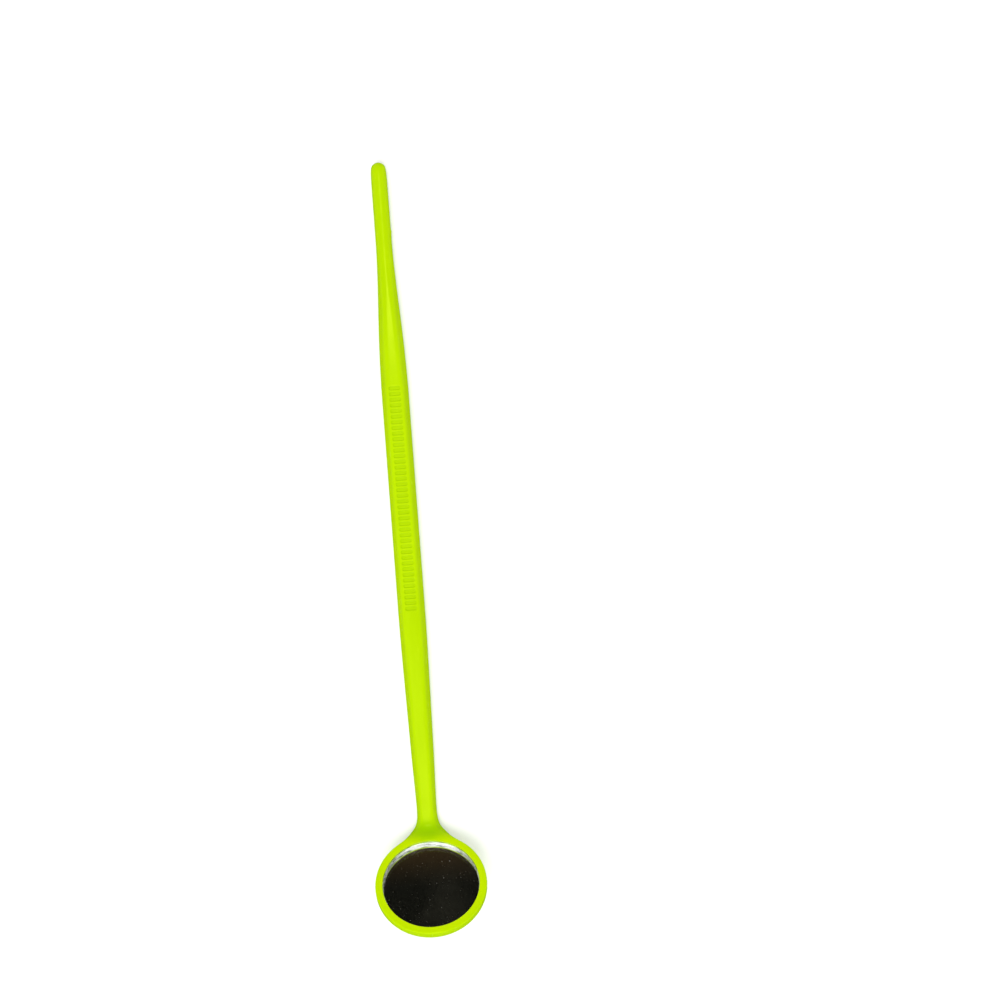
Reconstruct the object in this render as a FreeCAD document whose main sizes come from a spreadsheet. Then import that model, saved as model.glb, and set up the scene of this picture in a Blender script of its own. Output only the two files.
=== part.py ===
"""Disposable mouth mirror: a handle and cup moulded in one piece, and the glass mirror in the cup.

Frame: +X runs from the head to the tail of the handle, +Z is up and the underside rests on Z = 0.
The model is mirrored about the plane Y = 0. All lengths are in millimetres.
"""
import FreeCAD, Part
import math
import os
import Sketcher

# Driving dimensions: alias, value and what it measures.
SIZES = (
    ("overall_length", 174.75, "tail tip to the far edge of the cup"),
    ("axis_height", 2.73, "handle axis above the table"),
    ("shank_diameter", 3.65, "round tail of the handle"),
    ("shank_length", 20.0, "round tail"),
    ("corner_radius", 0.86, "rounding between the flats and the side facets"),
    ("grip_length", 54.7, "straight grip"),
    ("dimple_count", 40, "grip dimples in one row"),
    ("dimple_pitch", 1.283, "spacing of the dimples"),
    ("dimple_width", 0.9, "dimple, along the handle"),
    ("dimple_span", 2.5, "dimple, across the handle"),
    ("dimple_depth", 0.15, "how deep a dimple is sunk"),
    ("dimple_start", 51.57, "tail tip to the middle of the first dimple"),
    ("face_tilt", 35.0, "angle between the mirror's axis and the vertical, in degrees"),
    ("face_from_tail", 163.2, "tail tip to the middle of the cup's rim, along the handle"),
    ("face_height", 12.2, "middle of the cup's rim above the table"),
    ("cup_radius", 12.6, "outside of the cup"),
    ("cup_depth", 3.5, "cup, from rim to back"),
    ("cup_back_radius", 2.0, "rounding of the cup's back edge"),
    ("rim_radius", 0.35, "rounding of the rim's outer edge"),
    ("mouth_radius", 10.9, "opening inside the retaining lip"),
    ("pocket_radius", 11.08, "pocket that the glass drops into"),
    ("lip_height", 0.8, "retaining lip above the glass"),
    ("glass_radius", 11.0, "mirror glass"),
    ("glass_thickness", 1.6, "mirror glass"),
    ("glass_arris", 0.2, "ground chamfer on both edges of the glass"),
    ("coating_radius", 10.8, "silver and paint, inside the arris"),
    ("silver_thickness", 0.02, "silver coating"),
    ("paint_thickness", 0.05, "backing paint"),
    ("pad_radius", 10.5, "adhesive pad"),
    ("pad_thickness", 0.25, "adhesive pad"),
)

# Cross-sections of the handle: name, distance from the tail tip, width, height of the underside,
# height of the top, width of the flat on top, corner radius.
SECTIONS = (
    ("tail", 20.0, 3.60, 0.93, 4.53, 0.16, 1.60),
    ("swell", 27.0, 4.16, 0.68, 4.78, 0.8, 1.50),
    ("shoulder", 37.1, 5.23, 0.30, 5.16, 1.4, 1.15),
    ("brow", 43.9, 5.78, 0.09, 5.37, 1.9, 0.95),
    ("grip", 50.8, 6.15, 0.0, 5.46, 2.75, 0.86),
    ("waist", 116.0, 5.85, 0.0, 5.25, 2.6, 0.86),
    ("taper", 129.5, 5.32, 0.0, 4.85, 2.4, 0.86),
    ("throat", 139.8, 4.87, 0.0, 4.45, 2.3, 0.86),
    ("neck", 146.6, 4.60, 0.0, 4.20, 2.2, 0.86),
    ("bend", 149.0, 4.70, 0.05, 4.05, 2.0, 0.90),
    ("flare", 150.7, 5.40, 0.32, 4.05, 2.2, 1.00),
    ("root", 152.3, 7.10, 0.78, 4.35, 3.4, 1.10),
    ("web", 153.9, 9.90, 1.42, 4.90, 6.0, 1.20),
    ("seat", 155.5, 13.0, 2.30, 5.50, 8.6, 1.25),
)
SECTION_FIELDS = ("from_tail", "width", "bottom", "top", "flat", "corner")
TAIL_LOFT = ("tail", "swell", "shoulder", "brow", "grip")
NECK_LOFT = ("waist", "taper", "throat", "neck")
FLARE_LOFT = ("bend", "flare", "root", "web", "seat")

DOC = FreeCAD.newDocument("mouth_mirror")
SHEET = DOC.addObject("Spreadsheet::Sheet", "sheet")
UPWARD = FreeCAD.Vector(0, 0, 1)
FULL_TURN = 360
SIDES = 6  # the handle is six-sided


def fill_sheet():
    """Write every driving dimension to the sheet, one row each: name, value, meaning."""
    rows = list(SIZES)
    for name, *values in SECTIONS:
        for field, value in zip(SECTION_FIELDS, values):
            rows.append((f"{name}_{field}", value, f"handle section '{name}': {field}"))
    for number, (alias, value, meaning) in enumerate(rows, start=1):
        SHEET.set(f"A{number}", alias)
        SHEET.set(f"B{number}", str(value))
        SHEET.set(f"C{number}", meaning)
        SHEET.setAlias(f"B{number}", alias)
    DOC.recompute()


def size(alias):
    """Value of a driving dimension."""
    return float(SHEET.get(alias))


def origin_item(body, role):
    """One of a body's own origin planes or axes."""
    return next(item for item in body.Origin.OriginFeatures if item.Role == role)


def new_sketch(body, name, role):
    """An empty sketch on one of the body's origin planes."""
    sketch = body.newObject("Sketcher::SketchObject", name)
    sketch.AttachmentSupport = (origin_item(body, role), "")
    sketch.MapMode = "FlatFace"
    return sketch


def bind(item, **expressions):
    """Bind properties to the sheet. A double underscore stands for a dot."""
    for path, expression in expressions.items():
        item.setExpression(path.replace("__", "."), expression)


def constrain(sketch, kind, *arguments, to=None):
    """Add one constraint, and bind its value to an expression where one is given."""
    index = sketch.addConstraint(Sketcher.Constraint(kind, *arguments))
    if to:
        sketch.setExpression(f"Constraints[{index}]", to)
    return index


def sketch_section(body, name, row, from_tail):
    """Six-sided handle section with rounded corners, across the handle.

    Six equal arcs sit on a small hexagon and six lines join them. The sizes come from one row of
    SECTIONS, and from_tail is the expression of the section's place along the handle.
    """
    sketch = new_sketch(body, f"{name}_section", "YZ_Plane")
    bind(sketch,
         AttachmentOffset__Base__z=f"sheet.overall_length / 2 - ({from_tail})",
         AttachmentOffset__Base__y=f"(sheet.{row}_top + sheet.{row}_bottom) / 2")
    corner = size(f"{row}_corner")
    side = size(f"{row}_width") / 2 - corner
    upper = (size(f"{row}_top") - size(f"{row}_bottom")) / 2 - corner
    flat = size(f"{row}_flat") / 2
    centres = [(flat, upper), (side, 0), (flat, -upper), (-flat, -upper), (-side, 0), (-flat, upper)]
    centres = [FreeCAD.Vector(u, v, 0) for u, v in centres]
    normals = []
    for here, there in zip(centres, centres[1:] + centres[:1]):
        along = (there - here).normalize()
        normals.append(FreeCAD.Vector(-along.y, along.x, 0))
    for place in range(SIDES):
        before = math.atan2(normals[place - 1].y, normals[place - 1].x)
        after = math.atan2(normals[place].y, normals[place].x)
        circle = Part.Circle(centres[place], UPWARD, corner)
        sketch.addGeometry(Part.ArcOfCircle(circle, after, before))
    for place in range(SIDES):
        start = centres[place] + normals[place] * corner
        end = centres[(place + 1) % SIDES] + normals[place] * corner
        sketch.addGeometry(Part.LineSegment(start, end))
    for place in range(SIDES):
        constrain(sketch, "Tangent", place, 1, SIDES + place, 1)
        constrain(sketch, "Tangent", SIDES + place, 2, (place + 1) % SIDES, 2)
    constrain(sketch, "Radius", 0, corner, to=f"sheet.{row}_corner")
    for place in range(1, SIDES):
        constrain(sketch, "Equal", 0, place)
    half_height = f"(sheet.{row}_top - sheet.{row}_bottom) / 2"
    constrain(sketch, "DistanceX", -1, 1, 0, 3, flat, to=f"sheet.{row}_flat / 2")
    constrain(sketch, "DistanceY", -1, 1, 0, 3, upper, to=f"{half_height} - sheet.{row}_corner")
    constrain(sketch, "DistanceX", -1, 1, 1, 3, side, to=f"sheet.{row}_width / 2 - sheet.{row}_corner")
    constrain(sketch, "PointOnObject", 1, 3, -1)
    constrain(sketch, "Symmetric", 0, 3, 2, 3, -1)
    constrain(sketch, "Symmetric", 0, 3, 5, 3, -2)
    constrain(sketch, "Symmetric", 2, 3, 3, 3, -2)
    constrain(sketch, "Symmetric", 1, 3, 4, 3, -2)
    return sketch


def named_section(body, name):
    """Section of one row of SECTIONS. The grip's section also serves for the grip's far end."""
    row = "grip" if name == "grip_end" else name
    from_tail = f"sheet.{row}_from_tail"
    if name == "grip_end":
        from_tail += " + sheet.grip_length"
    return sketch_section(body, name, row, from_tail)


def add_loft(body, label, sketches):
    """Smooth loft through a list of section sketches."""
    loft = body.newObject("PartDesign::AdditiveLoft", label)
    loft.Profile = sketches[0]
    loft.Sections = sketches[1:]
    loft.Ruled = False
    DOC.recompute()


def revolve_outline(body, kind, label, sketch):
    """Revolution or Groove of a sketch about its own vertical axis."""
    feature = body.newObject(f"PartDesign::{kind}", label)
    feature.Profile = sketch
    feature.ReferenceAxis = (sketch, ["V_Axis"])
    feature.Angle = FULL_TURN
    DOC.recompute()


def tilt_to_face(sketch, depth="0"):
    """Put a sketch's origin on the mirror's axis, depth below the rim, its vertical along the axis."""
    sketch.AttachmentOffset = FreeCAD.Placement(FreeCAD.Vector(), FreeCAD.Rotation(UPWARD, 1))
    bind(sketch,
         AttachmentOffset__Rotation__Angle="-sheet.face_tilt * 1 deg",
         AttachmentOffset__Base__x="sheet.overall_length / 2 - sheet.face_from_tail"
                                   f" - ({depth}) * sin(sheet.face_tilt * 1 deg)",
         AttachmentOffset__Base__y=f"sheet.face_height - ({depth}) * cos(sheet.face_tilt * 1 deg)")


def draw_polygon(sketch, points):
    """Closed polygon whose corners are held by distances to the sketch's origin.

    Each corner is (u, v), and u and v are expressions of the sheet.
    """
    values = [[evaluate(sketch, text) for text in point] for point in points]
    for here, there in zip(values, values[1:] + values[:1]):
        sketch.addGeometry(Part.LineSegment(FreeCAD.Vector(*here, 0), FreeCAD.Vector(*there, 0)))
    count = len(points)
    for place in range(count):
        constrain(sketch, "Coincident", place, 2, (place + 1) % count, 1)
    for place, ((u_text, v_text), (u_value, v_value)) in enumerate(zip(points, values)):
        if u_value:
            constrain(sketch, "DistanceX", -1, 1, place, 1, u_value, to=u_text)
        if v_value:
            constrain(sketch, "DistanceY", -1, 1, place, 1, v_value, to=v_text)
        if not u_value and not v_value:
            constrain(sketch, "Coincident", place, 1, -1, 1)
        elif not u_value:
            constrain(sketch, "PointOnObject", place, 1, -2)
        elif not v_value:
            constrain(sketch, "PointOnObject", place, 1, -1)


def evaluate(item, text):
    """Number that an expression of the sheet gives."""
    value = item.evalExpression(text)
    return float(getattr(value, "Value", value))


def add_disc(label, radius, thickness, depth):
    """Flat disc on the mirror's axis whose upper face lies depth below the rim."""
    body = DOC.addObject("PartDesign::Body", label)
    sketch = new_sketch(body, f"{label}_outline", "XZ_Plane")
    tilt_to_face(sketch, depth)
    draw_polygon(sketch, [("0", "0"), (radius, "0"), (radius, f"-({thickness})"), ("0", f"-({thickness})")])
    DOC.recompute()
    revolve_outline(body, "Revolution", f"{label}_disc", sketch)
    return body


def make_shank(body):
    """Round tail with a ball end."""
    sketch = new_sketch(body, "shank_outline", "XZ_Plane")
    bind(sketch,
         AttachmentOffset__Base__x="sheet.overall_length / 2",
         AttachmentOffset__Base__y="sheet.axis_height")
    radius = size("shank_diameter") / 2
    length = size("shank_length")
    corners = ((0, 0), (-length, 0), (-length, radius), (-radius, radius))
    points = [FreeCAD.Vector(u, v, 0) for u, v in corners]
    for here, there in zip(points, points[1:]):
        sketch.addGeometry(Part.LineSegment(here, there))
    ball = Part.Circle(FreeCAD.Vector(-radius, 0, 0), FreeCAD.Vector(0, 0, 1), radius)
    sketch.addGeometry(Part.ArcOfCircle(ball, 0, math.pi / 2))
    constrain(sketch, "Coincident", 0, 1, -1, 1)
    constrain(sketch, "Horizontal", 0)
    constrain(sketch, "Coincident", 0, 2, 1, 1)
    constrain(sketch, "Vertical", 1)
    constrain(sketch, "Coincident", 1, 2, 2, 1)
    constrain(sketch, "Horizontal", 2)
    constrain(sketch, "Tangent", 2, 2, 3, 2)
    constrain(sketch, "Coincident", 3, 1, 0, 1)
    constrain(sketch, "PointOnObject", 3, 3, -1)
    constrain(sketch, "DistanceX", 0, 2, 0, 1, length, to="sheet.shank_length")
    constrain(sketch, "DistanceY", 1, 1, 1, 2, radius, to="sheet.shank_diameter / 2")
    DOC.recompute()
    feature = body.newObject("PartDesign::Revolution", "shank")
    feature.Profile = sketch
    feature.ReferenceAxis = (sketch, ["H_Axis"])
    feature.Angle = FULL_TURN
    DOC.recompute()


def make_grip(body):
    """Straight six-sided grip between the two lofts."""
    section = named_section(body, "grip_end")
    feature = body.newObject("PartDesign::Pad", "grip")
    feature.Profile = section
    bind(feature, Length="sheet.grip_length")
    DOC.recompute()
    return section


def make_cup(body):
    """Outside of the cup, a shallow round dish with a rounded back edge, still solid."""
    sketch = new_sketch(body, "cup_outline", "XZ_Plane")
    tilt_to_face(sketch)
    outer, depth = size("cup_radius"), size("cup_depth")
    back, rim = size("cup_back_radius"), size("rim_radius")
    corners = ((0, 0), (outer - rim, 0), (outer, -rim),
               (outer, back - depth), (outer - back, -depth), (0, -depth))
    corners = [FreeCAD.Vector(u, v, 0) for u, v in corners]
    for here, there in ((0, 1), (2, 3), (4, 5), (5, 0)):
        sketch.addGeometry(Part.LineSegment(corners[here], corners[there]))
    rim_circle = Part.Circle(FreeCAD.Vector(outer - rim, -rim, 0), UPWARD, rim)
    sketch.addGeometry(Part.ArcOfCircle(rim_circle, 0, math.pi / 2))
    back_circle = Part.Circle(FreeCAD.Vector(outer - back, back - depth, 0), UPWARD, back)
    sketch.addGeometry(Part.ArcOfCircle(back_circle, -math.pi / 2, 0))
    constrain(sketch, "Coincident", 0, 1, -1, 1)
    constrain(sketch, "Horizontal", 0)
    constrain(sketch, "Tangent", 0, 2, 4, 2)
    constrain(sketch, "Tangent", 4, 1, 1, 1)
    constrain(sketch, "Vertical", 1)
    constrain(sketch, "Tangent", 1, 2, 5, 2)
    constrain(sketch, "Tangent", 5, 1, 2, 1)
    constrain(sketch, "Horizontal", 2)
    constrain(sketch, "Coincident", 2, 2, 3, 1)
    constrain(sketch, "Coincident", 3, 2, 0, 1)
    constrain(sketch, "Vertical", 3)
    constrain(sketch, "Radius", 4, rim, to="sheet.rim_radius")
    constrain(sketch, "Radius", 5, back, to="sheet.cup_back_radius")
    constrain(sketch, "DistanceX", -1, 1, 1, 1, outer, to="sheet.cup_radius")
    constrain(sketch, "DistanceY", 3, 1, 3, 2, depth, to="sheet.cup_depth")
    DOC.recompute()
    revolve_outline(body, "Revolution", "cup", sketch)


def cut_pocket(body):
    """Pocket for the glass, under a lip that leans in over the glass's edge."""
    sketch = new_sketch(body, "pocket_outline", "XZ_Plane")
    tilt_to_face(sketch)
    floor = "-(sheet.lip_height + sheet.glass_thickness + sheet.silver_thickness" \
            " + sheet.paint_thickness + sheet.pad_thickness)"
    clear = "sheet.cup_depth"  # the cut runs on above the rim, to clear the web
    draw_polygon(sketch, [
        ("0", clear), ("sheet.mouth_radius", clear), ("sheet.mouth_radius", "0"),
        ("sheet.pocket_radius", "-sheet.lip_height"), ("sheet.pocket_radius", floor), ("0", floor)])
    DOC.recompute()
    revolve_outline(body, "Groove", "pocket", sketch)


def cut_dimples(body, label, height, reverse):
    """Row of round-ended dimples sunk into one flat of the grip."""
    sketch = new_sketch(body, f"{label}_outline", "XY_Plane")
    bind(sketch,
         AttachmentOffset__Base__x="sheet.overall_length / 2 - sheet.dimple_start",
         AttachmentOffset__Base__z=height)
    half_width = size("dimple_width") / 2
    reach = size("dimple_span") / 2 - half_width
    far = Part.Circle(FreeCAD.Vector(0, reach, 0), UPWARD, half_width)
    near = Part.Circle(FreeCAD.Vector(0, -reach, 0), UPWARD, half_width)
    sketch.addGeometry(Part.ArcOfCircle(far, 0, math.pi))
    sketch.addGeometry(Part.ArcOfCircle(near, math.pi, 2 * math.pi))
    for side in (-half_width, half_width):
        sketch.addGeometry(Part.LineSegment(FreeCAD.Vector(side, reach, 0), FreeCAD.Vector(side, -reach, 0)))
    constrain(sketch, "Tangent", 0, 2, 2, 1)
    constrain(sketch, "Tangent", 2, 2, 1, 1)
    constrain(sketch, "Tangent", 1, 2, 3, 2)
    constrain(sketch, "Tangent", 3, 1, 0, 1)
    constrain(sketch, "Symmetric", 0, 3, 1, 3, -1, 1)
    constrain(sketch, "PointOnObject", 0, 3, -2)
    constrain(sketch, "Radius", 0, half_width, to="sheet.dimple_width / 2")
    constrain(sketch, "DistanceY", -1, 1, 0, 3, reach, to="(sheet.dimple_span - sheet.dimple_width) / 2")
    DOC.recompute()
    pocket = body.newObject("PartDesign::Pocket", label)
    pocket.Profile = sketch
    pocket.Reversed = reverse
    bind(pocket, Length="sheet.dimple_depth")
    DOC.recompute()
    row = body.newObject("PartDesign::LinearPattern", f"{label}_row")
    row.Originals = [pocket]
    row.Direction = (origin_item(body, "X_Axis"), [""])
    row.Reversed = True
    bind(row,
         Length="(sheet.dimple_count - 1) * sheet.dimple_pitch",
         Occurrences="sheet.dimple_count")
    body.Tip = row
    DOC.recompute()


def make_handle():
    """The moulding: shank, grip, neck and cup in one piece."""
    body = DOC.addObject("PartDesign::Body", "handle")
    grip_end = make_grip(body)
    cut_dimples(body, "top_dimples", "2 * sheet.axis_height", False)
    cut_dimples(body, "bottom_dimples", "0", True)
    make_shank(body)
    add_loft(body, "tail_swell", [named_section(body, name) for name in TAIL_LOFT])
    neck_sections = [grip_end, *(named_section(body, name) for name in NECK_LOFT)]
    add_loft(body, "neck", neck_sections)
    flare_sections = [named_section(body, name) for name in FLARE_LOFT]
    add_loft(body, "neck_bend", [neck_sections[-1], flare_sections[0]])
    add_loft(body, "neck_flare", flare_sections)
    make_cup(body)
    cut_pocket(body)
    return body


def make_glass():
    """Glass disc with its two edges ground to a small arris."""
    body = add_disc("mirror_glass", "sheet.glass_radius", "sheet.glass_thickness", "sheet.lip_height")
    disc = body.Tip
    rims = [f"Edge{number}" for number, edge in enumerate(disc.Shape.Edges, start=1)
            if edge.Curve.TypeId == "Part::GeomCircle"]
    arris = body.newObject("PartDesign::Chamfer", "arris")
    arris.Base = (disc, rims)
    bind(arris, Size="sheet.glass_arris")
    DOC.recompute()
    return body


def make_layers():
    """Silver, paint and adhesive, stacked behind the glass."""
    silver_depth = "sheet.lip_height + sheet.glass_thickness"
    paint_depth = f"{silver_depth} + sheet.silver_thickness"
    pad_depth = f"{paint_depth} + sheet.paint_thickness"
    return [
        add_disc("silver_coating", "sheet.coating_radius", "sheet.silver_thickness", silver_depth),
        add_disc("backing_paint", "sheet.coating_radius", "sheet.paint_thickness", paint_depth),
        add_disc("adhesive_pad", "sheet.pad_radius", "sheet.pad_thickness", pad_depth),
    ]


def check_document(bodies):
    """Stop if any object failed or any sub-part's shape is not a sound solid."""
    for item in DOC.Objects:
        if "Invalid" in item.State or "Error" in item.State:
            raise RuntimeError(f"{item.Label} failed: {item.State}")
    for body in bodies:
        shape = body.Shape
        if shape.isNull() or not shape.isValid() or len(shape.Solids) != 1:
            raise RuntimeError(f"{body.Label} is not one valid solid")


def write_parts(bodies):
    """Write one STEP file for each sub-part."""
    os.makedirs("parts", exist_ok=True)
    for body in bodies:
        body.Shape.exportStep(f"parts/{body.Label}.step")
        box = body.Shape.optimalBoundingBox(False, False)
        print(f"{body.Label}: {body.Shape.Volume:.2f} mm3,"
              f" X {box.XMin:.2f} to {box.XMax:.2f}, Z {box.ZMin:.2f} to {box.ZMax:.2f}")


def main():
    """Build the mirror and write its parts."""
    fill_sheet()
    bodies = [make_handle(), make_glass(), *make_layers()]
    DOC.recompute()
    check_document(bodies)
    write_parts(bodies)


main()
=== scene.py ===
# %% [markdown]
# # A disposable mouth mirror
#
# A dentist's disposable mouth mirror is one moulding of bright plastic, with a slim six-sided
# handle and a round cup, and a small glass mirror that is pressed into the cup. The CAD model
# already fixes every size. This notebook builds the surfaces that are seen: a smooth moulding with
# a dimpled grip, a glass disc with a ground edge, and the finish of each. It starts by loading the
# CAD model, which stays where it is, and reads from its boxes where things are.

# %% Load the frame
import math
import bmesh
import bpy
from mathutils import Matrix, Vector


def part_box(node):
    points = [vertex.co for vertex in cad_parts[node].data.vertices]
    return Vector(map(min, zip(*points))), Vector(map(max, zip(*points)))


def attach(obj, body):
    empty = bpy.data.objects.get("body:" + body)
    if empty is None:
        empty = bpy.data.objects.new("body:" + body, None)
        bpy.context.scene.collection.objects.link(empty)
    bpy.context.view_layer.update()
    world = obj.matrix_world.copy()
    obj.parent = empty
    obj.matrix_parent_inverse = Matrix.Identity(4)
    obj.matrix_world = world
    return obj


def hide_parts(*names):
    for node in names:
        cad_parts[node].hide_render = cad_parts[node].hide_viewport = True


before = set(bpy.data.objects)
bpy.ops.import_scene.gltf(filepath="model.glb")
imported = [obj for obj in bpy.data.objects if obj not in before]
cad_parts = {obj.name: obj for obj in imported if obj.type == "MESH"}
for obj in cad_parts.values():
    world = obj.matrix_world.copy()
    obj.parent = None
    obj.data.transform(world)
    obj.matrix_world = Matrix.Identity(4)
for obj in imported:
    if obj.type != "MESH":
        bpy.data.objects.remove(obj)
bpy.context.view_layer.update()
MM = 0.001

# %% [markdown]
# ## Where things are
#
# All places come from the CAD boxes. The handle runs along X, its round tail at high X. The glass
# is a disc that leans back towards the handle, and the middle of its box is the middle of the disc.
# Two unit vectors describe the leaning cup: `OUT` points away from the glass, and `DOWNHILL` lies
# in the glass and points to the handle. Sizes are kept in millimetres, because that is how a
# toolmaker would read them, and turned into Blender's metres only when a mesh is written.

# %% Places from the frame
handle_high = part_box("handle")[1] / MM
glass_low, glass_high = (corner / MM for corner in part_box("mirror_glass"))
TAIL = handle_high.x
AXIS_HEIGHT = 2.73
TILT = math.radians(35)
OUT = Vector((math.sin(TILT), 0, math.cos(TILT)))
DOWNHILL = Vector((math.cos(TILT), 0, -math.sin(TILT)))
SIDEWAYS = Vector((0, 1, 0))
LIP = 0.8
GLASS_THICKNESS = 1.6
glass_radius = (glass_high.y - glass_low.y) / 2
rim_centre = (glass_low + glass_high) / 2 + OUT * (GLASS_THICKNESS / 2 + LIP)
print("middle of the rim:", tuple(round(v, 2) for v in rim_centre))
print("radius of the glass:", round(glass_radius, 2))


def on_cup(radius, height, angle):
    """Point of the cup from its radius, its height over the rim and its angle from the handle side."""
    across = DOWNHILL * math.cos(angle) + SIDEWAYS * math.sin(angle)
    return rim_centre + across * radius + OUT * height


# %% [markdown]
# ## The moulding as a cage
#
# The handle changes from a round tail to a six-sided grip and a slim neck, and then spreads into
# the wall of the cup with soft hollow corners. A boolean union would leave a hard seam there, so
# the whole moulding is one coarse cage of quads, which a Subdivision Surface modifier turns into a
# smooth skin. Each cross-section of the handle is a ring of 20 cage points: the ring below blends
# a circle with a rounded hexagon, and `squareness` says how far it has changed.

# %% A cross-section of the handle
RING_POINTS = 20
HALF_RING = RING_POINTS // 2
SMOOTHING = 3 / (2 + math.cos(2 * math.pi / RING_POINTS))  # makes up for what a cage circle shrinks by
SHOULDER_REACH, SHOULDER_RISE = 0.43, 0.94  # corner of the flat: share of the way out, share of the height
FACET_REACH, FACET_RISE = 0.56, 0.44  # the same for the point in the middle of a side facet


def hexagon_half(half_width, half_height, half_flat):
    """Cage points of a rounded hexagon, from the middle of the top round to that of the underside."""
    shoulder = half_flat + SHOULDER_REACH * (half_width - half_flat)
    facet = shoulder + FACET_REACH * (half_width - shoulder)
    edge = half_width + (half_width - facet) / 2
    upper = [(0, half_height), (half_flat / 2, half_height), (half_flat, half_height),
             (shoulder, half_height * SHOULDER_RISE), (facet, half_height * FACET_RISE)]
    lower = [(y, -z) for y, z in reversed(upper)]
    return upper + [(edge, 0)] + lower


def circle_half(half_width, half_height):
    """Cage points of an ellipse, at the same places as the hexagon's."""
    turns = [math.pi * place / HALF_RING for place in range(HALF_RING + 1)]
    return [(half_width * SMOOTHING * math.sin(turn), half_height * SMOOTHING * math.cos(turn))
            for turn in turns]


def handle_ring(from_tail, width, bottom, top, flat, squareness):
    """One ring of cage points across the handle, from_tail away from the tip of the tail."""
    half_height, middle = (top - bottom) / 2, (top + bottom) / 2
    six_sided = hexagon_half(width / 2, half_height, flat / 2)
    rounded = circle_half(width / 2, half_height)
    half = [Vector(a).lerp(Vector(b), squareness) for a, b in zip(rounded, six_sided)]
    around = half + [Vector((-y, z)) for y, z in reversed(half[1:-1])]
    return [Vector((TAIL - from_tail, y, middle + z)) for y, z in around]


# %% [markdown]
# The stations of the handle are the few places where its outline changes: distance from the tail,
# width, underside, top, width of the flat and squareness. The ball end is worked out from the
# radius of the tail. The grip needs many evenly spaced rings, four to each dimple, so that the
# dimples can later be pressed into a mesh that is fine enough to hold them.

# %% Stations of the handle
TAIL_RADIUS = 1.825
PITCH, DIMPLES, FIRST_DIMPLE = 1.283, 40, 51.57
GRIP_START = FIRST_DIMPLE - PITCH / 2
GRIP_END = GRIP_START + DIMPLES * PITCH
RINGS_PER_DIMPLE = 4
tail_low, tail_top = AXIS_HEIGHT - TAIL_RADIUS, AXIS_HEIGHT + TAIL_RADIUS
TAIL_STATIONS = (
    (3.0, 3.65, tail_low, tail_top, 0.5, 0.15),
    (9.0, 3.65, tail_low, tail_top, 0.5, 0.15),
    (15.0, 3.66, tail_low, tail_top, 0.6, 0.15),
    (15.5, 3.66, tail_low, tail_top, 0.6, 0.15),
    (15.9, 3.66, tail_low, tail_top, 0.6, 0.15),
    (16.3, 3.66, tail_low, tail_top, 0.6, 0.15),
    (20.0, 3.68, tail_low, tail_top, 0.6, 0.2),
    (23.5, 3.88, 0.80, 4.66, 0.8, 0.4),
    (27.0, 4.16, 0.66, 4.80, 1.0, 0.7),
    (31.0, 4.56, 0.50, 4.96, 1.2, 0.9),
    (35.0, 5.00, 0.34, 5.12, 1.4, 1.0),
    (39.0, 5.42, 0.20, 5.26, 1.6, 1.0),
    (43.0, 5.74, 0.09, 5.37, 1.9, 1.0),
    (47.0, 5.98, 0.02, 5.44, 2.1, 1.0),
    (50.2, 6.08, 0.0, 5.46, 2.3, 1.0),
)
FLASH_PLACE, FLASH_HEIGHT = 15.9, 0.3  # a nib of flash on the parting line
FLASH_CORNER = 15  # the ring's point on the parting line, on the far side
GRIP_SECTION = (6.13, 0.0, 5.46, 2.7, 1.0)
NECK_STATIONS = (
    (105.5, 6.13, 0.0, 5.46, 2.7, 1.0),
    (110.0, 6.03, 0.0, 5.40, 2.65, 1.0),
    (116.0, 5.85, 0.0, 5.25, 2.55, 1.0),
    (123.0, 5.57, 0.0, 5.03, 2.45, 1.0),
    (130.0, 5.31, 0.0, 4.82, 2.35, 1.0),
    (137.0, 5.06, 0.0, 4.60, 2.25, 1.0),
    (142.0, 4.72, 0.0, 4.36, 2.0, 1.0),
    (145.5, 4.54, 0.0, 4.22, 2.0, 1.0),
    (147.6, 4.50, 0.0, 4.20, 2.0, 1.0),
    (148.6, 4.55, 0.0, 4.02, 1.9, 0.9),
    (149.8, 4.72, 0.1, 3.78, 1.9, 0.7),
    (151.1, 5.40, 0.40, 3.84, 2.4, 0.7),
    (152.2, 6.90, 0.84, 4.24, 3.4, 0.8),
)


BALL_TURNS = (22, 45, 67)  # degrees round the ball end
SAME_PLACE = 0.01


def ball_rings():
    """Rings of the round end of the tail."""
    rings = []
    for degrees in BALL_TURNS:
        turn = math.radians(degrees)
        reach = TAIL_RADIUS * math.sin(turn)
        rings.append(handle_ring(TAIL_RADIUS * (1 - math.cos(turn)), 2 * reach,
                                 AXIS_HEIGHT - reach, AXIS_HEIGHT + reach, 0, 0))
    return rings


def grip_rings():
    """Evenly spaced rings along the grip."""
    step = PITCH / RINGS_PER_DIMPLE
    places = [GRIP_START + step * place for place in range(-1, DIMPLES * RINGS_PER_DIMPLE + 2)]
    return [handle_ring(place, *GRIP_SECTION) for place in places]


rings = ball_rings()
rings += [handle_ring(*station) for station in TAIL_STATIONS]
flash_ring = next(ring for ring in rings if abs(TAIL - ring[0].x - FLASH_PLACE) < SAME_PLACE)
flash_ring[FLASH_CORNER].y -= FLASH_HEIGHT
rings += grip_rings()
rings += [handle_ring(*station) for station in NECK_STATIONS]
print(len(rings), "rings along the handle")

# %% [markdown]
# ## The cup
#
# The cup is turned: its section is listed once, from the middle of the back, round the outside and
# over the rim, under the leaning lip and down to the floor of the pocket, and then swept round the
# mirror's axis. On the handle side a patch of the wall is left out. The patch's edge has 20 points,
# as many as a ring, so the last ring of the neck joins it quad for quad, and the subdivision rounds
# the joint on its own, as a fillet in the mould would.

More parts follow.
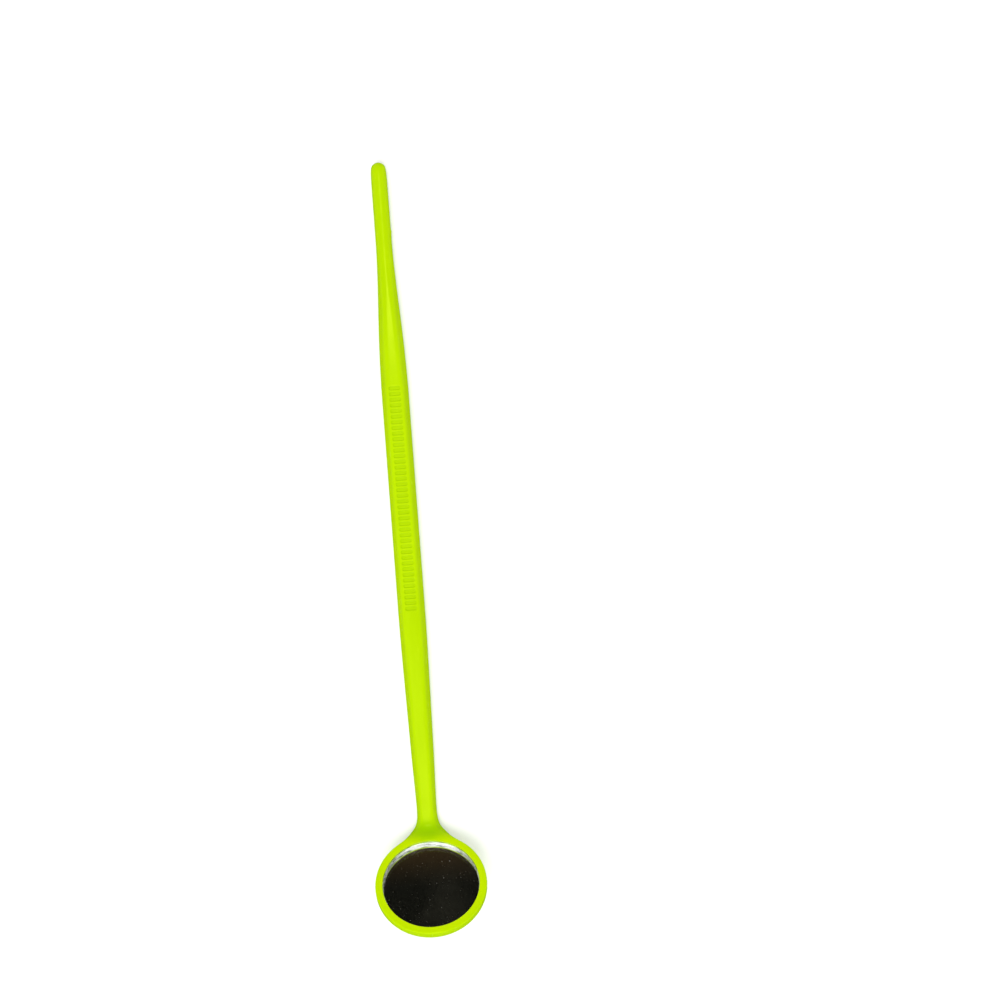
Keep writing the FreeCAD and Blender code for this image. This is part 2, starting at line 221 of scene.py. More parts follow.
# %% Section of the cup
SEGMENTS = 36
CUP_SMOOTHING = 3 / (2 + math.cos(2 * math.pi / SEGMENTS))
CUP_OUTSIDE = ((5.0, -3.49), (8.6, -3.49), (11.14, -3.52), (12.06, -2.97), (12.6, -2.04),
               (12.59, -1.2), (12.59, -0.5), (12.57, -0.08), (12.2, 0.0))
CUP_INSIDE = ((11.6, -0.01), (11.1, 0.0), (10.93, -0.03), (10.9, -0.3), (10.98, -0.7), (11.06, -1.1),
              (11.08, -1.9), (11.08, -2.6), (10.9, -2.72), (6.0, -2.72))
BACK_HEIGHT, FLOOR_HEIGHT = -3.49, -2.72
PATCH_ROWS = range(3, 8)  # rows of CUP_OUTSIDE that the neck joins
PATCH_REACH = 3  # segments each side of the middle


def cup_rows():
    """Cage points of the cup, one list of points round the axis for each place in its section."""
    turns = [2 * math.pi * segment / SEGMENTS for segment in range(SEGMENTS)]
    section = CUP_OUTSIDE + CUP_INSIDE
    return [[on_cup(radius * CUP_SMOOTHING, height, turn) for turn in turns] for radius, height in section]


# %% Join the handle and the cup in one cage
def add_points(mesh, points):
    """Add points to a bmesh, in metres."""
    return [mesh.verts.new(point * MM) for point in points]


def bridge(mesh, one, other):
    """Quads between two closed loops of the same length."""
    count = len(one)
    for place in range(count):
        after = (place + 1) % count
        mesh.faces.new((one[place], one[after], other[after], other[place]))


def close_with_fan(mesh, loop, middle):
    """Close a loop with triangles that meet in the middle."""
    hub = mesh.verts.new(middle * MM)
    for place in range(len(loop)):
        mesh.faces.new((loop[place], loop[(place + 1) % len(loop)], hub))


def patch_edge(rows):
    """The 20 points round the patch, in the order of a handle ring."""
    reach, row_numbers = PATCH_REACH, list(PATCH_ROWS)
    front, back = row_numbers[-1], row_numbers[0]
    edge = [rows[front][turn] for turn in range(reach + 1)]
    edge += [rows[row][reach] for row in reversed(row_numbers[1:-1])]
    edge += [rows[back][turn] for turn in range(reach, -reach - 1, -1)]
    edge += [rows[row][-reach] for row in row_numbers[1:-1]]
    edge += [rows[front][turn] for turn in range(-reach, 0)]
    return edge


def make_cage():
    """The whole moulding as one closed cage."""
    mesh = bmesh.new()
    loops = [add_points(mesh, ring) for ring in rings]
    close_with_fan(mesh, loops[0], Vector((TAIL, 0, AXIS_HEIGHT)))
    for one, other in zip(loops, loops[1:]):
        bridge(mesh, one, other)
    rows = [add_points(mesh, row) for row in cup_rows()]
    for number, (one, other) in enumerate(zip(rows, rows[1:])):
        beside_neck = number in PATCH_ROWS and number + 1 in PATCH_ROWS
        for turn in range(SEGMENTS):
            signed = turn if turn < SEGMENTS / 2 else turn - SEGMENTS
            if beside_neck and -PATCH_REACH <= signed < PATCH_REACH:
                continue
            after = (turn + 1) % SEGMENTS
            mesh.faces.new((one[turn], one[after], other[after], other[turn]))
    close_with_fan(mesh, rows[0], on_cup(0, BACK_HEIGHT, 0))
    close_with_fan(mesh, rows[-1], on_cup(0, FLOOR_HEIGHT, 0))
    bridge(mesh, loops[-1], patch_edge(rows))
    loose = [point for point in mesh.verts if not point.link_faces]
    bmesh.ops.delete(mesh, geom=loose, context="VERTS")
    bmesh.ops.recalc_face_normals(mesh, faces=mesh.faces)
    return mesh


def new_object(name, mesh):
    """Turn a bmesh into an object of the scene, at the origin."""
    data = bpy.data.meshes.new(name)
    mesh.to_mesh(data)
    mesh.free()
    data.shade_smooth()
    item = bpy.data.objects.new(name, data)
    bpy.context.scene.collection.objects.link(item)
    return item


moulding = new_object("moulding", make_cage())
subdivision = moulding.modifiers.new("skin", "SUBSURF")
subdivision.levels = subdivision.render_levels = 2
print("cage faces:", len(moulding.data.polygons))

# %% [markdown]
# ## Dimples by Geometry Nodes
#
# The grip is a rule: 40 round-ended dimples, all alike, at one pitch, on a flat that the mould cuts
# a little lower than the rest. So Geometry Nodes presses them in. For each point the tree works out
# how far it lies from the nearest dimple's outline, and moves it towards the handle's axis by a
# smooth step of that distance. The tree's inputs are the sizes that a toolmaker would give.
# The tree also stores a mask with which the lime material paints shade into the dimples, darkest on their
# walls.

# %% Helpers for node trees
def add_node(tree, kind, **settings):
    """A node of a tree with its settings."""
    node = tree.nodes.new(kind)
    for name, value in settings.items():
        setattr(node, name, value)
    return node


def feed(tree, socket, value):
    """Link a socket to an output, or give it a plain value."""
    if isinstance(value, bpy.types.NodeSocket):
        tree.links.new(value, socket)
    else:
        socket.default_value = value


def maths(tree, operation, *values):
    """Output of a Math node."""
    node = add_node(tree, "ShaderNodeMath", operation=operation)
    for socket, value in zip(node.inputs, values):
        feed(tree, socket, value)
    return node.outputs[0]


# %% The dimple tree
DIMPLE_SIZES = {
    "Axis height": AXIS_HEIGHT, "Zone start": TAIL - GRIP_START, "Zone end": TAIL - GRIP_END,
    "Zone level": AXIS_HEIGHT - 0.05, "First": TAIL - FIRST_DIMPLE, "Pitch": PITCH, "Count": DIMPLES,
    "Width": 0.97, "Span": 2.8, "Depth": 0.13, "Wall": 0.22,
}
DIMPLE_SHADE_MASK = "sunk"  # point attribute of painted shade in the dimples, darkest on their walls
FLOOR_SHADE_SHARE = 0.2  # how dark the painted shade on a dimple's floor is beside that on its wall


def dimple_tree():
    """Geometry Nodes tree that flattens the grip zone, presses the dimples into both flats and stores a mask
    of painted shade for them.
    """
    tree = bpy.data.node_groups.new("grip_dimples", "GeometryNodeTree")
    tree.interface.new_socket("Geometry", in_out="INPUT", socket_type="NodeSocketGeometry")
    for name in DIMPLE_SIZES:
        tree.interface.new_socket(name, in_out="INPUT", socket_type="NodeSocketFloat")
    tree.interface.new_socket("Material", in_out="INPUT", socket_type="NodeSocketMaterial")
    tree.interface.new_socket("Geometry", in_out="OUTPUT", socket_type="NodeSocketGeometry")
    given = add_node(tree, "NodeGroupInput").outputs
    place = add_node(tree, "ShaderNodeSeparateXYZ")
    feed(tree, place.inputs[0], add_node(tree, "GeometryNodeInputPosition").outputs[0])
    x, y, z = place.outputs
    above = maths(tree, "SUBTRACT", z, given["Axis height"])
    height = maths(tree, "ABSOLUTE", above)
    zone = maths(tree, "MULTIPLY", maths(tree, "LESS_THAN", x, given["Zone start"]),
                 maths(tree, "GREATER_THAN", x, given["Zone end"]))
    excess = maths(tree, "MAXIMUM", maths(tree, "SUBTRACT", height, given["Zone level"]), 0.0)
    number = maths(tree, "DIVIDE", maths(tree, "SUBTRACT", given["First"], x), given["Pitch"])
    nearest = maths(tree, "MAXIMUM", maths(tree, "ROUND", number), 0.0)
    nearest = maths(tree, "MINIMUM", nearest, maths(tree, "SUBTRACT", given["Count"], 1.0))
    along = maths(tree, "MULTIPLY", maths(tree, "SUBTRACT", number, nearest), given["Pitch"])
    radius = maths(tree, "DIVIDE", given["Width"], 2.0)
    reach = maths(tree, "SUBTRACT", maths(tree, "DIVIDE", given["Span"], 2.0), radius)
    across = maths(tree, "MAXIMUM", maths(tree, "SUBTRACT", maths(tree, "ABSOLUTE", y), reach), 0.0)
    squares = maths(tree, "ADD", maths(tree, "MULTIPLY", along, along),
                    maths(tree, "MULTIPLY", across, across))
    outside = maths(tree, "SUBTRACT", maths(tree, "SQRT", squares), radius)
    step = add_node(tree, "ShaderNodeMapRange", interpolation_type="SMOOTHSTEP")
    for name, value in (("Value", outside), ("From Min", 0.0), ("To Min", 0.0), ("To Max", given["Depth"])):
        feed(tree, step.inputs[name], value)
    feed(tree, step.inputs["From Max"], maths(tree, "MULTIPLY", given["Wall"], -1.0))
    sunk = maths(tree, "MULTIPLY", zone, maths(tree, "ADD", excess, step.outputs[0]))
    # Mask of painted shade: darkest on the dimple walls, a little on their floors.
    depth_share = maths(tree, "DIVIDE", step.outputs[0], given["Depth"])
    middle = maths(tree, "ABSOLUTE", maths(tree, "SUBTRACT", maths(tree, "MULTIPLY", depth_share, 2.0), 1.0))
    wall = maths(tree, "MULTIPLY", maths(tree, "SUBTRACT", 1.0, middle), 1.0 - FLOOR_SHADE_SHARE)
    floor = maths(tree, "MULTIPLY", depth_share, FLOOR_SHADE_SHARE)
    shade = maths(tree, "MULTIPLY", zone, maths(tree, "ADD", wall, floor))
    shift = maths(tree, "MULTIPLY", maths(tree, "SIGN", above), maths(tree, "MULTIPLY", sunk, -1.0))
    offset = add_node(tree, "ShaderNodeCombineXYZ")
    feed(tree, offset.inputs["Z"], shift)
    press = add_node(tree, "GeometryNodeSetPosition")
    feed(tree, press.inputs["Geometry"], given["Geometry"])
    feed(tree, press.inputs["Offset"], offset.outputs[0])
    mark = add_node(tree, "GeometryNodeStoreNamedAttribute", data_type="FLOAT", domain="POINT")
    feed(tree, mark.inputs["Geometry"], press.outputs[0])
    mark.inputs["Name"].default_value = DIMPLE_SHADE_MASK
    feed(tree, mark.inputs["Value"], shade)
    realize = add_node(tree, "GeometryNodeRealizeInstances")
    feed(tree, realize.inputs[0], mark.outputs[0])
    finish = add_node(tree, "GeometryNodeSetMaterial")
    feed(tree, finish.inputs["Geometry"], realize.outputs[0])
    feed(tree, finish.inputs["Material"], given["Material"])
    feed(tree, add_node(tree, "NodeGroupOutput").inputs[0], finish.outputs[0])
    return tree


def set_input(modifier, name, value):
    """Set a Geometry Nodes modifier's input by its socket's identifier."""
    for socket in modifier.node_group.interface.items_tree:
        if socket.in_out == "INPUT" and socket.name == name:
            modifier[socket.identifier] = value


# %% [markdown]
# ## Finishes
#
# The plastic is a glossy, slightly translucent lime. Moulded parts are never one even colour, so
# the colour drifts a little along the flow of the melt, and there are a few dark specks and fine
# scuffs. The shared group below makes those masks from noise, and each material uses them with its
# own strengths. Two more masks, made from distances, paint light and shade into the colour: painted
# shade deepens the hollow web between neck and cup, and a painted glow makes the thin lip lighter
# and a little yellow, as light through thin plastic would.
# A third mask, stored by the dimple tree, paints shade into the dimples.

# %% Shared surface group
def make_group(name, inputs, outputs):
    """Empty shader group with float inputs, given as name and default, and typed outputs."""
    group = bpy.data.node_groups.new(name, "ShaderNodeTree")
    for label, default in inputs.items():
        socket = group.interface.new_socket(label, in_out="INPUT", socket_type="NodeSocketFloat")
        socket.default_value = default
    for label, kind in outputs.items():
        group.interface.new_socket(label, in_out="OUTPUT", socket_type=f"NodeSocket{kind}")
    return group


def noise(tree, vector, scale, detail=2.0, roughness=0.5):
    """Output of a Noise Texture."""
    node = add_node(tree, "ShaderNodeTexNoise")
    feed(tree, node.inputs["Vector"], vector)
    for name, value in (("Scale", scale), ("Detail", detail), ("Roughness", roughness)):
        feed(tree, node.inputs[name], value)
    return node.outputs[0]


def ramp(tree, value, low, high, out_low=0.0, out_high=1.0):
    """Output of a smooth Map Range."""
    node = add_node(tree, "ShaderNodeMapRange", interpolation_type="SMOOTHSTEP")
    for name, given in (("Value", value), ("From Min", low), ("From Max", high),
                        ("To Min", out_low), ("To Max", out_high)):
        feed(tree, node.inputs[name], given)
    return node.outputs[0]


def stretched(tree, vector, scale):
    """A vector scaled differently along its three axes."""
    node = add_node(tree, "ShaderNodeMapping")
    feed(tree, node.inputs["Vector"], vector)
    node.inputs["Scale"].default_value = scale
    return node.outputs[0]


SPECK_EDGE, SPECK_CORE = 0.12, 0.05  # radii of a speck, as shares of its cell


def handling_group():
    """Masks of handled plastic and glass: slow drift of colour, fine scuffs and small specks."""
    group = make_group("handling", {"Speck scale": 900.0, "Speck share": 0.08, "Scuff scale": 700.0},
                       {"Drift": "Float", "Scuffs": "Float", "Specks": "Float"})
    given = add_node(group, "NodeGroupInput").outputs
    result = add_node(group, "NodeGroupOutput").inputs
    place = add_node(group, "ShaderNodeTexCoord").outputs["Object"]
    drift = noise(group, stretched(group, place, (60, 260, 260)), 1.0, 3.0)
    feed(group, result["Drift"], ramp(group, drift, 0.25, 0.75))
    scuffs = noise(group, stretched(group, place, (0.25, 1.0, 1.0)), given["Scuff scale"], 4.0, 0.65)
    feed(group, result["Scuffs"], ramp(group, scuffs, 0.52, 0.72))
    cells = add_node(group, "ShaderNodeTexVoronoi")
    feed(group, cells.inputs["Vector"], place)
    feed(group, cells.inputs["Scale"], given["Speck scale"])
    near = ramp(group, cells.outputs["Distance"], SPECK_EDGE, SPECK_CORE)
    pick = add_node(group, "ShaderNodeSeparateColor")
    feed(group, pick.inputs[0], cells.outputs["Color"])
    few = maths(group, "LESS_THAN", pick.outputs[0], given["Speck share"])
    feed(group, result["Specks"], maths(group, "MULTIPLY", near, few))
    return group


HANDLING = handling_group()


def new_material(name):
    """Material with a Principled shader. Gives the material, its tree and the shader's sockets."""
    material = bpy.data.materials.new(name)
    material.use_nodes = True
    tree = material.node_tree
    return material, tree, tree.nodes["Principled BSDF"].inputs


def place_handling(tree, **values):
    """Put the shared group in a material with its own values."""
    node = add_node(tree, "ShaderNodeGroup", node_tree=HANDLING)
    for name, value in values.items():
        node.inputs[name.replace("_", " ")].default_value = value
    return node.outputs


def mix_colour(tree, share, one, other):
    """Output of a colour mix."""
    node = add_node(tree, "ShaderNodeMix", data_type="RGBA")
    for socket, value in ((node.inputs["Factor"], share), (node.inputs[6], one), (node.inputs[7], other)):
        feed(tree, socket, value)
    return node.outputs[2]


def bump(tree, shader, height, depth):
    """Bump from a height output into the shader's normal, at full strength."""
    node = add_node(tree, "ShaderNodeBump")
    feed(tree, node.inputs["Height"], height)
    node.inputs["Distance"].default_value = depth
    node.inputs["Strength"].default_value = 1.0
    feed(tree, shader["Normal"], node.outputs[0])


# %% Lime plastic
LIME = (0.385, 0.585, 0.0, 1)
LIME_DEEP = (0.36, 0.555, 0.0, 1)
# Painted shade of the dimples, darkest on their walls.
LIME_DIMPLE_SHADE = (0.25, 0.44, 0.0, 1)
# Painted glow of the thin lip: lighter and yellower.
LIME_LIP_GLOW = (0.43, 0.61, 0.0, 1)
# Painted shade of the hollow web between neck and cup.
LIME_WEB_SHADE = (0.26, 0.48, 0.0, 1)
SPECK = (0.16, 0.24, 0.01, 1)
PLASTIC_IOR, GLASS_IOR = 1.49, 1.52
# Where painted shade deepens the web: its middle and its reach along and across.
WEB_CENTRE = Vector((-64.8, 0, 3.9))
WEB_STRETCH = (1 / 3.4, 1 / 6.5, 0)  # one over the reach along and across, the same at every height
WEB_EDGE, WEB_CORE = 1.0, 0.15
LIP_LOW, LIP_TOP = -1.4, -0.1  # heights over the rim between which the lip is painted lighter and yellower, as a glow of light through thin plastic
LIP_EDGE, LIP_CORE = 13.2, 11.3  # distances from the middle of the rim for the same
PARTING_EDGE, PARTING_CORE = 0.09, 0.02
PARTING_RISE = 4.0


def lime_plastic():
    """Glossy, slightly translucent moulded plastic."""
    material, tree, shader = new_material("lime_plastic")
    masks = place_handling(tree, Speck_scale=330.0, Speck_share=0.012)
    place = add_node(tree, "ShaderNodeTexCoord").outputs["Object"]
    # Painted glow on the thin lip and painted shade in the web.
    lip_glow, web_shade = lip_glow_and_web_shade_masks(tree, place)
    colour = mix_colour(tree, masks["Drift"], LIME, LIME_DEEP)
    colour = mix_colour(tree, lip_glow, colour, LIME_LIP_GLOW)
    colour = mix_colour(tree, web_shade, colour, LIME_WEB_SHADE)
    # Painted shade in the dimples, from the mask that the dimple tree stores.
    sunk = add_node(tree, "ShaderNodeAttribute", attribute_name=DIMPLE_SHADE_MASK).outputs["Fac"]
    colour = mix_colour(tree, sunk, colour, LIME_DIMPLE_SHADE)
    colour = mix_colour(tree, masks["Specks"], colour, SPECK)
    feed(tree, shader["Base Color"], colour)
    feed(tree, shader["Roughness"], ramp(tree, masks["Scuffs"], 0.0, 1.0, 0.2, 0.34))
    peel = noise(tree, place, 900.0, 2.0)
    height = maths(tree, "ADD", peel, maths(tree, "MULTIPLY", masks["Scuffs"], -0.25))
    height = maths(tree, "ADD", height, parting_line(tree, place))
    bump(tree, shader, height, 0.00001)
    shader["IOR"].default_value = PLASTIC_IOR
    shader["Specular IOR Level"].default_value = 0.16
    shader["Specular Tint"].default_value = (1.0, 1.0, 0.1, 1)
    shader["Subsurface Weight"].default_value = 0.2
    shader["Subsurface Radius"].default_value = (1.0, 1.0, 0.1)
    shader["Subsurface Scale"].default_value = 0.0012
    return material


def distance(tree, place, centre, stretch=(1, 1, 1)):
    """Vector from a centre, and its length in millimetres with each axis weighed by its stretch."""
    away = add_node(tree, "ShaderNodeVectorMath", operation="SUBTRACT")
    feed(tree, away.inputs[0], place)
    away.inputs[1].default_value = centre * MM
    weighed = add_node(tree, "ShaderNodeVectorMath", operation="MULTIPLY")
    feed(tree, weighed.inputs[0], away.outputs[0])
    weighed.inputs[1].default_value = Vector(stretch) / MM
    length = add_node(tree, "ShaderNodeVectorMath", operation="LENGTH")
    feed(tree, length.inputs[0], weighed.outputs[0])
    return away.outputs[0], length.outputs["Value"]


def lip_glow_and_web_shade_masks(tree, place):
    """Masks of painted light and shade: a glow that makes the thin lip lighter and yellower, and shade that
    deepens the web.
    """
    away, from_rim = distance(tree, place, rim_centre)
    height = add_node(tree, "ShaderNodeVectorMath", operation="DOT_PRODUCT")
    feed(tree, height.inputs[0], away)
    height.inputs[1].default_value = OUT / MM
    near_face = ramp(tree, height.outputs["Value"], LIP_LOW, LIP_TOP)
    # Painted glow on the thin lip.
    lip_glow = maths(tree, "MULTIPLY", near_face, ramp(tree, from_rim, LIP_EDGE, LIP_CORE))
    from_web = distance(tree, place, WEB_CENTRE, WEB_STRETCH)[1]
    return lip_glow, ramp(tree, from_web, WEB_EDGE, WEB_CORE)


def parting_line(tree, place):
    """Fine ridge along the sides of the handle, where the two halves of the mould met."""
    axes = add_node(tree, "ShaderNodeSeparateXYZ")
    feed(tree, axes.inputs[0], place)
    off_line = maths(tree, "ABSOLUTE", maths(tree, "SUBTRACT", axes.outputs[2], AXIS_HEIGHT * MM))
    ridge = ramp(tree, off_line, PARTING_EDGE * MM, PARTING_CORE * MM)
    on_handle = maths(tree, "GREATER_THAN", axes.outputs[0], (TAIL - NECK_STATIONS[-1][0]) * MM)
    return maths(tree, "MULTIPLY", maths(tree, "MULTIPLY", ridge, on_handle), PARTING_RISE)


LIME_PLASTIC = lime_plastic()

# %% Press the dimples and keep a plain mesh
dimples = moulding.modifiers.new("dimples", "NODES")
dimples.node_group = dimple_tree()
for name, value in DIMPLE_SIZES.items():
    set_input(dimples, name, value if name == "Count" else value * MM)
set_input(dimples, "Material", LIME_PLASTIC)


def freeze(item):
    """Replace an object's mesh by its evaluated one and drop the modifiers."""
    evaluated = item.evaluated_get(bpy.context.evaluated_depsgraph_get())
    mesh = bpy.data.meshes.new_from_object(evaluated)
    item.modifiers.clear()
    item.data = mesh
    return item


freeze(moulding)
print("moulding triangles:", sum(len(face.vertices) - 2 for face in moulding.data.polygons))

# %% [markdown]
# ## The mirror glass
#
# The glass is clear and silvered behind, so what is seen is the far surface through the near one.
# That is why a bright crescent shows on the side of the handle: there the eye looks through the
# front face at the ground edge of the disc, and at its mirror image below. The disc is turned, with
# the small arris that glass gets so that it doesn't cut. Its back stays a hair in front of the
# silver, because two surfaces in the same place would fight.
# A painted glow on the ground edge, strongest towards the handle, makes the crescent whiter still.

# %% Turn the glass
GLASS_SEGMENTS = 144
ARRIS = 0.2
SHARP = math.radians(25)
HAIR = 0.01


def turned(name, section):
    """Solid of revolution on the mirror's axis from an open section, with both ends closed flat."""
    mesh = bmesh.new()
    turns = [2 * math.pi * segment / GLASS_SEGMENTS for segment in range(GLASS_SEGMENTS)]
    loops = [add_points(mesh, [on_cup(radius, height, turn) for turn in turns]) for radius, height in section]
    for one, other in zip(loops, loops[1:]):
        bridge(mesh, one, other)
    for loop in (loops[0], loops[-1]):
        mesh.faces.new(loop)
    bmesh.ops.recalc_face_normals(mesh, faces=mesh.faces)
    for edge in mesh.edges:
        edge.smooth = edge.calc_face_angle(0) < SHARP
    return new_object(name, mesh)


glass_back = -LIP - GLASS_THICKNESS + HAIR
glass = turned("glass_disc", (
    (glass_radius - ARRIS, -LIP), (glass_radius, -LIP - ARRIS),
    (glass_radius, glass_back + ARRIS), (glass_radius - ARRIS, glass_back)))
print("glass faces:", len(glass.data.polygons))


# %% Glass, ground edge and silver
def clear_glass():
    """Polished glass with a little dust, which shows as specks of roughness."""
    material, tree, shader = new_material("clear_glass")
    masks = place_handling(tree, Speck_scale=900.0, Speck_share=0.2)
    feed(tree, shader["Roughness"], ramp(tree, masks["Specks"], 0.0, 1.0, 0.0, 0.6))
    shader["Base Color"].default_value = (0.97, 0.99, 0.98, 1)
    shader["Transmission Weight"].default_value = 1.0
    shader["IOR"].default_value = GLASS_IOR
    return material


LIT_SHARE, DARK_SHARE = 0.88, 0.45  # shares of the radius, from the middle towards the handle
EDGE_GLOW = 0.5


def ground_edge():
    """Edge of the disc, ground to a white satin with grey streaks that run round it.

    A real edge gathers light from the whole disc. Here it glows a little towards the handle instead.
    """
    material, tree, shader = new_material("ground_edge")
    place = add_node(tree, "ShaderNodeTexCoord").outputs["Object"]
    turned_place = add_node(tree, "ShaderNodeMapping")
    feed(tree, turned_place.inputs["Vector"], place)
    turned_place.inputs["Rotation"].default_value = (0, -TILT, 0)
    turned_place.inputs["Scale"].default_value = (1, 1, 7)
    streaks = noise(tree, turned_place.outputs[0], 260.0, 4.0, 0.6)
    grey = ramp(tree, streaks, 0.46, 0.6)
    feed(tree, shader["Base Color"], mix_colour(tree, grey, (1, 1, 1, 1), (0.3, 0.34, 0.28, 1)))
    feed(tree, shader["Roughness"], ramp(tree, streaks, 0.3, 0.7, 0.2, 0.5))
    shader["Transmission Weight"].default_value = 0.25
    shader["IOR"].default_value = GLASS_IOR
    axes = add_node(tree, "ShaderNodeSeparateXYZ")
    feed(tree, axes.inputs[0], place)
    lit_end, dark_end = (rim_centre + DOWNHILL * glass_radius * share for share in (LIT_SHARE, DARK_SHARE))
    lit = ramp(tree, axes.outputs[0], dark_end.x * MM, lit_end.x * MM)
    glow = mix_colour(tree, grey, (1, 1, 1, 1), (0.1, 0.14, 0.08, 1))
    # Painted glow: emission that brightens the handle side of the edge.
    feed(tree, shader["Emission Color"], mix_colour(tree, lit, (0, 0, 0, 1), glow))
    shader["Emission Strength"].default_value = EDGE_GLOW
    return material


def silver():
    """Silvering, with faint clouding and pinholes."""
    material, tree, shader = new_material("silvering")
    masks = place_handling(tree, Speck_scale=1500.0, Speck_share=0.7)
    tint = mix_colour(tree, masks["Drift"], (0.94, 0.93, 0.91, 1), (0.91, 0.9, 0.87, 1))
    feed(tree, shader["Base Color"], mix_colour(tree, masks["Specks"], tint, (0.6, 0.58, 0.5, 1)))
    feed(tree, shader["Roughness"], ramp(tree, masks["Specks"], 0.0, 1.0, 0.01, 0.42))
    shader["Metallic"].default_value = 1.0
    return material


def dull(name, light, dark, scale, roughness):
    """Matt layer with a mottled colour and a slightly uneven surface."""
    material, tree, shader = new_material(name)
    place = add_node(tree, "ShaderNodeTexCoord").outputs["Object"]
    cloud = noise(tree, place, scale, 4.0, 0.6)
    feed(tree, shader["Base Color"], mix_colour(tree, cloud, light, dark))
    feed(tree, shader["Roughness"], ramp(tree, cloud, 0.2, 0.8, roughness - 0.1, roughness + 0.1))
    bump(tree, shader, cloud, 0.00002)
    return material


glass.data.materials.append(clear_glass())
glass.data.materials.append(ground_edge())
FACING = 0.9  # how nearly a face of the disc has to face along its axis to be polished
for face in glass.data.polygons:
    face.material_index = 0 if abs(face.normal.dot(OUT)) > FACING else 1
CAD_FINISHES = {
    "silver_coating": silver(),
    "backing_paint": dull("grey_paint", (0.2, 0.21, 0.23, 1), (0.12, 0.125, 0.14, 1), 900.0, 0.7),
    "adhesive_pad": dull("glue", (0.86, 0.84, 0.76, 1), (0.7, 0.68, 0.6, 1), 400.0, 0.5),
}
for node, material in CAD_FINISHES.items():
    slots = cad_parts[node].material_slots
    for place in slots:
        place.material = material
    print(node, "slots:", len(slots))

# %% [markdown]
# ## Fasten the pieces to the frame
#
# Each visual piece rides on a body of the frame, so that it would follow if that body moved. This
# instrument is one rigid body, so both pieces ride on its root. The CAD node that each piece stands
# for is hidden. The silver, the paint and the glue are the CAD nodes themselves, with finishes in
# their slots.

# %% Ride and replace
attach(moulding, "root")
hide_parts("handle")
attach(glass, "root")
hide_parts("mirror_glass")

# %% [markdown]
# ## Table, light and camera
#
# The instrument lies on a plain white table under a broad soft light. A mirror shows what stands
# opposite it, and here that is dark: an upright card beyond the tail, and a round one about the
# lens. Only reflections see the cards, which cast no shadow and hide from the camera. The table
# hides from reflections in turn, and the room has a dim lime foot, because a white glare on the
# steep sides would turn the lime grey. The camera looks straight down through a long lens.

# %% Table
TABLE_SIZE = 6.0


def plain_sheet(name, corners, material):
    """One flat face as a staged object."""
    mesh = bmesh.new()
    mesh.faces.new([mesh.verts.new(corner) for corner in corners])
    item = new_object(name, mesh)
    item.data.materials.append(material)
    return item


def flat_colour(name, colour, roughness):
    """Even matt colour for things that aren't part of the object."""
    material, _, shader = new_material(name)
    shader["Base Color"].default_value = colour
    shader["Roughness"].default_value = roughness
    shader["Specular IOR Level"].default_value = 0.0
    return material


reach = TABLE_SIZE / 2
plain_sheet("table", [(-reach, -reach, 0), (reach, -reach, 0), (reach, reach, 0), (-reach, reach, 0)],
            flat_colour("table_white", (0.93, 0.93, 0.93, 1), 0.9)).visible_glossy = False

# %% Dark cards
CARD_NEAR = 0.35
CARD_LOW, CARD_HIGH = 0.06, 1.25
CARD_HALF = 0.8
LENS_RADIUS, LENS_MIDDLE = 0.1, Vector((0.009, -0.022, 0.73))
BROWN_TOP, BROWN_FULL = 0.228, 0.205  # heights between which the card turns brown


def dusky_card():
    """Nearly black cloth with a faint brown cloud in it."""
    material, tree, shader = new_material("card_cloth")
    place = add_node(tree, "ShaderNodeTexCoord").outputs["Object"]
    height = add_node(tree, "ShaderNodeSeparateXYZ")
    feed(tree, height.inputs[0], place)
    foot = ramp(tree, height.outputs[2], BROWN_TOP, BROWN_FULL)
    cloud = ramp(tree, noise(tree, place, 60.0, 3.0), 0.4, 0.7)
    colour = mix_colour(tree, cloud, (0.0055, 0.0055, 0.0042, 1), (0.011, 0.0105, 0.008, 1))
    feed(tree, shader["Base Color"], mix_colour(tree, foot, colour, (0.028, 0.017, 0.007, 1)))
    shader["Roughness"].default_value = 1.0
    shader["Specular IOR Level"].default_value = 0.0
    return material


def seen_in_reflections_only(item):
    """Hide a staged card from the camera and keep its shadow off the table."""
    item.visible_camera = item.visible_diffuse = item.visible_shadow = False


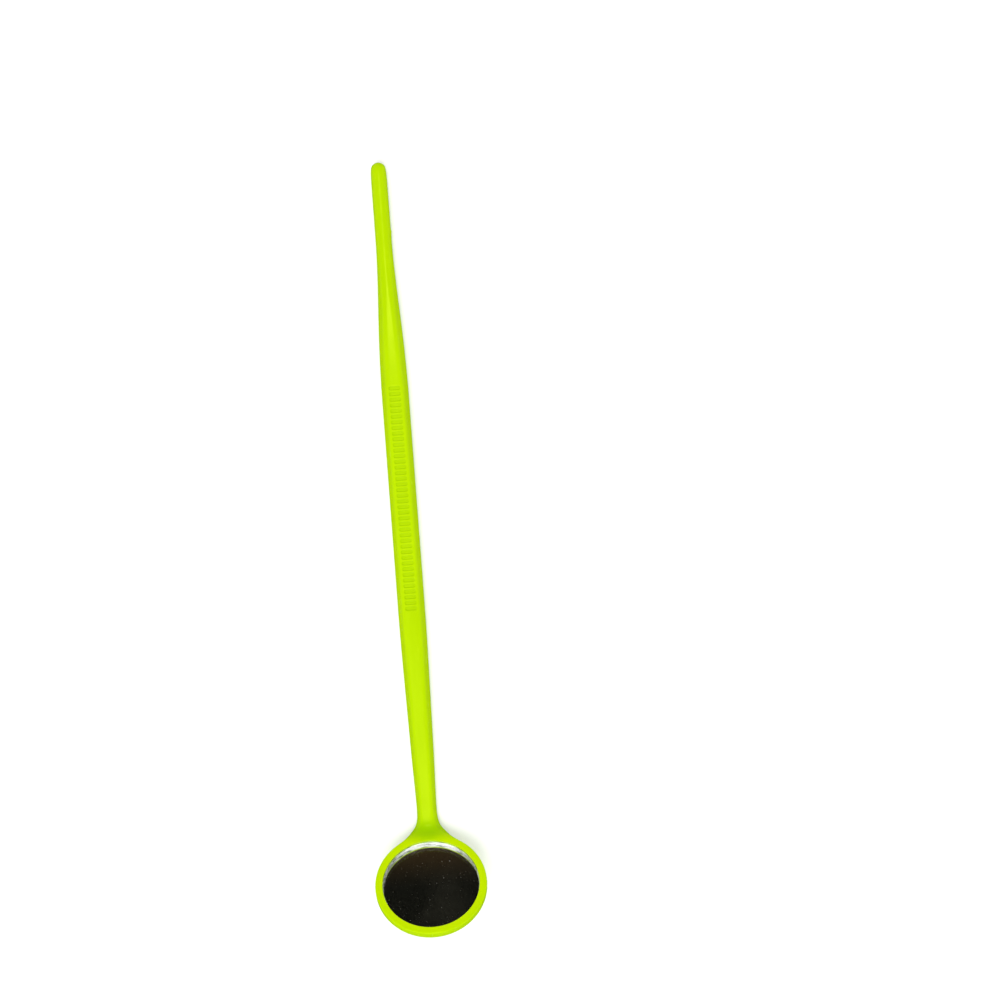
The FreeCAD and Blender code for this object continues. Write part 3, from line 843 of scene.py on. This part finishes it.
CLOTH = dusky_card()
seen_in_reflections_only(plain_sheet("dark_card", [
    (CARD_NEAR, CARD_HALF, CARD_LOW), (CARD_NEAR, -CARD_HALF, CARD_LOW),
    (CARD_NEAR, -CARD_HALF, CARD_HIGH), (CARD_NEAR, CARD_HALF, CARD_HIGH)], CLOTH))
turns = [2 * math.pi * turn / GLASS_SEGMENTS for turn in range(GLASS_SEGMENTS)]
seen_in_reflections_only(plain_sheet("lens_front", [
    LENS_MIDDLE + LENS_RADIUS * Vector((math.cos(turn), math.sin(turn), 0)) for turn in turns], CLOTH))

# %% World and lights
SKY_STRENGTH = 0.88
FOOT_BOTTOM, FOOT_TOP = -0.3, 0.02  # between these heights of the view direction the room changes
FOOT_SHARE = 0.5  # how bright the foot is beside the room


def sky():
    """White room with a dimmer, lime foot, so that the steep sides of the handle don't turn grey."""
    world = bpy.data.worlds.new("studio")
    world.use_nodes = True
    tree = world.node_tree
    background = tree.nodes["Background"].inputs
    axes = add_node(tree, "ShaderNodeSeparateXYZ")
    feed(tree, axes.inputs[0], add_node(tree, "ShaderNodeTexCoord").outputs["Generated"])
    level = ramp(tree, axes.outputs[2], FOOT_BOTTOM, FOOT_TOP)
    feed(tree, background["Color"], mix_colour(tree, level, LIME, (1, 1, 1, 1)))
    share = maths(tree, "MULTIPLY_ADD", level, 1.0 - FOOT_SHARE, FOOT_SHARE)
    feed(tree, background["Strength"], maths(tree, "MULTIPLY", share, SKY_STRENGTH))
    return world


def softbox(name, place, length, width, power):
    """Rectangular soft light that looks at the middle of the table."""
    data = bpy.data.lights.new(name, "AREA")
    data.shape = "RECTANGLE"
    data.size, data.size_y = length, width
    data.energy = power
    lamp = bpy.data.objects.new(name, data)
    bpy.context.scene.collection.objects.link(lamp)
    lamp.location = place
    lamp.rotation_euler = (-Vector(place)).to_track_quat("-Z", "Y").to_euler()


bpy.context.scene.world = sky()
softbox("key_box", (-0.42, 0.13, 0.95), 0.6, 0.6, 6.0)
softbox("strip_box", (0.22, 0.0, 1.0), 0.18, 0.12, 1.6)

# %% Camera
CAMERA_PLACE = Vector((8.74, -21.94, 716.0)) * MM
CAMERA_ROLL = math.radians(-90 - 4.33)
camera_data = bpy.data.cameras.new("camera")
camera_data.lens = 112.9
camera_data.sensor_width = 36
camera = bpy.data.objects.new("camera", camera_data)
bpy.context.scene.collection.objects.link(camera)
camera.location = CAMERA_PLACE
camera.rotation_euler = (0, 0, CAMERA_ROLL)
bpy.context.scene.camera = camera
bpy.context.scene.view_settings.view_transform = "Standard"
